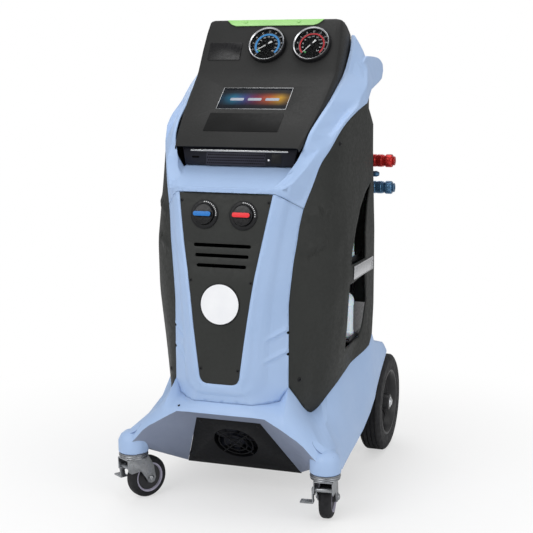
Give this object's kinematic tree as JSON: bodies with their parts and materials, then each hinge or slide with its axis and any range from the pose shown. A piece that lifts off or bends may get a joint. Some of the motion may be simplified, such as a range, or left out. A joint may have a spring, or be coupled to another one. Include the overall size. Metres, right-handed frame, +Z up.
{
  "type": "air conditioning service station",
  "caption": "Wheeled upright cabinet for servicing vehicle air conditioning, with sloped console, pressure gauges, valve knobs, hose couplers and a bottle bay.",
  "frame": {"origin": "centre of the footprint's bounding box, on the floor", "axes": "+Z up, -Y towards the person at the console, +X to that person's right"},
  "size_m": [0.5658, 0.7534, 1.1319],
  "materials": {
    "blue_moulding": "fine satin grain",
    "dark_sheet": "dark grey powder coat",
    "dark_moulding": "dark grey grained plastic",
    "black_plastic": "satin black",
    "green_trim": "smooth light green",
    "white_badge": "smooth white",
    "frame_steel": "dark paint on steel",
    "zinc": "bright zinc plate",
    "rubber": "matt black",
    "glass": "clear",
    "screen_glass": "glossy display pane",
    "red_metal": "red anodised",
    "blue_metal": "blue anodised",
    "knob_blue": "satin",
    "knob_red": "satin",
    "white_bottle": "translucent white",
    "tank_paint": "grey paint",
    "pointer_white": "matt white",
    "board_green": "lacquered board"
  },
  "bodies": {
    "cabinet": {"badge_disc": "white_badge", "base_skirt": "blue_moulding", "bottle_rack": "frame_steel", "chassis_frame": "frame_steel", "compressor": "frame_steel", "control_board": "board_green", "control_hood": "dark_sheet", "coupler_stem_high": "red_metal", "coupler_stem_low": "blue_metal", "display_screen": "screen_glass", "fan_grille": "black_plastic", "fan_shroud": "black_plastic", "filter_drier": "tank_paint", "front_column": "blue_moulding", "front_panel": "dark_moulding", "gauge_case_high": "black_plastic", "gauge_case_low": "black_plastic", "gauge_lens_high": "glass", "gauge_lens_low": "glass", "keypad_plate": "black_plastic", "knob_ring_high": "black_plastic", "knob_ring_low": "black_plastic", "label_plate": "black_plastic", "mains_inlet": "black_plastic", "printer_case": "black_plastic", "printer_tear_bar": "zinc", "push_handle": "black_plastic", "rear_axle": "zinc", "rear_cowl": "blue_moulding", "rear_panel": "dark_sheet", "refrigerant_tank": "tank_paint", "service_port": "blue_metal", "side_nameplate": "zinc", "side_panel_left": "dark_moulding", "side_panel_right": "dark_moulding", "status_strip": "green_trim", "tank_scale": "zinc", "upper_shroud": "blue_moulding", "vacuum_pump": "frame_steel", "valve_manifold": "zinc"},
    "caster_fork_left": {"caster_fork_left": "zinc"},
    "caster_fork_right": {"caster_fork_right": "zinc"},
    "caster_wheel_left": {"caster_wheel_left": "rubber"},
    "caster_wheel_right": {"caster_wheel_right": "rubber"},
    "caster_brake_left": {"caster_brake_left": "zinc"},
    "caster_brake_right": {"caster_brake_right": "zinc"},
    "rear_wheel_left": {"rear_tyre_left": "rubber", "rear_rim_left": "black_plastic"},
    "rear_wheel_right": {"rear_tyre_right": "rubber", "rear_rim_right": "black_plastic"},
    "valve_knob_low": {"valve_knob_low": "knob_blue"},
    "valve_knob_high": {"valve_knob_high": "knob_red"},
    "gauge_pointer_low": {"gauge_pointer_low": "pointer_white"},
    "gauge_pointer_high": {"gauge_pointer_high": "pointer_white"},
    "fan_rotor": {"fan_rotor": "black_plastic"},
    "coupler_sleeve_high": {"coupler_sleeve_high": "red_metal"},
    "coupler_sleeve_low": {"coupler_sleeve_low": "blue_metal"},
    "oil_bottle_upper": {"oil_bottle_upper": "white_bottle"},
    "oil_bottle_lower": {"oil_bottle_lower": "white_bottle"},
    "power_rocker": {"power_rocker": "black_plastic"}
  },
  "joints": [
    {"name": "caster_swivel_left", "type": "hinge", "parent": "cabinet", "child": "caster_fork_left", "pos_m": [-0.22576, -0.32925, 0], "axis": [0, 0, 1], "continuous": true},
    {"name": "caster_roll_left", "type": "hinge", "parent": "caster_fork_left", "child": "caster_wheel_left", "pos_m": [-0.20721, -0.29957, 0.05], "axis": [0.848, -0.5299, 0], "continuous": true},
    {"name": "caster_brake_left", "type": "hinge", "parent": "caster_fork_left", "child": "caster_brake_left", "pos_m": [-0.23635, -0.34621, 0.083], "axis": [0.848, -0.5299, 0], "range_deg": [-8, 8]},
    {"name": "rear_roll_left", "type": "hinge", "parent": "cabinet", "child": "rear_wheel_left", "pos_m": [-0.21016, 0.24775, 0.129], "axis": [1, 0, 0], "continuous": true},
    {"name": "caster_swivel_right", "type": "hinge", "parent": "cabinet", "child": "caster_fork_right", "pos_m": [0.24744, -0.32925, 0], "axis": [0, 0, 1], "continuous": true},
    {"name": "caster_roll_right", "type": "hinge", "parent": "caster_fork_right", "child": "caster_wheel_right", "pos_m": [0.24379, -0.29444, 0.05], "axis": [0.9945, 0.1045, 0], "continuous": true},
    {"name": "caster_brake_right", "type": "hinge", "parent": "caster_fork_right", "child": "caster_brake_right", "pos_m": [0.24954, -0.34914, 0.083], "axis": [0.9945, 0.1045, 0], "range_deg": [-8, 8]},
    {"name": "rear_roll_right", "type": "hinge", "parent": "cabinet", "child": "rear_wheel_right", "pos_m": [0.23184, 0.24775, 0.129], "axis": [1, 0, 0], "continuous": true},
    {"name": "valve_turn_low", "type": "hinge", "parent": "cabinet", "child": "valve_knob_low", "pos_m": [-0.03536, -0.33915, 0.69136], "axis": [0, -0.9795, 0.2014], "range_deg": [0, 90]},
    {"name": "valve_turn_high", "type": "hinge", "parent": "cabinet", "child": "valve_knob_high", "pos_m": [0.05704, -0.33915, 0.69136], "axis": [0, -0.9795, 0.2014], "range_deg": [0, 90]},
    {"name": "gauge_needle_low", "type": "hinge", "parent": "cabinet", "child": "gauge_pointer_low", "pos_m": [0.00584, -0.03015, 1.07158], "axis": [0, -0.8704, 0.4924], "range_deg": [-259, 11]},
    {"name": "gauge_needle_high", "type": "hinge", "parent": "cabinet", "child": "gauge_pointer_high", "pos_m": [0.11834, -0.03015, 1.07158], "axis": [0, -0.8704, 0.4924], "range_deg": [-273, 2]},
    {"name": "fan_spin", "type": "hinge", "parent": "cabinet", "child": "fan_rotor", "pos_m": [0.01084, -0.25732, 0.15174], "axis": [0, -0.8077, -0.5896], "continuous": true},
    {"name": "coupler_release_high", "type": "slide", "parent": "cabinet", "child": "coupler_sleeve_high", "axis": [1, 0, 0], "range_m": [-0.006, 0]},
    {"name": "coupler_release_low", "type": "slide", "parent": "cabinet", "child": "coupler_sleeve_low", "axis": [1, 0, 0], "range_m": [-0.006, 0]},
    {"name": "bottle_lift_upper", "type": "slide", "parent": "cabinet", "child": "oil_bottle_upper", "axis": [0, 0, 1], "range_m": [0, 0.03]},
    {"name": "bottle_lift_lower", "type": "slide", "parent": "cabinet", "child": "oil_bottle_lower", "axis": [0, 0, 1], "range_m": [0, 0.03]},
    {"name": "power_switch", "type": "hinge", "parent": "cabinet", "child": "power_rocker", "pos_m": [0.09109, 0.21855, 0.2375], "axis": [1, 0, 0], "range_deg": [0, 14]}
  ]
}
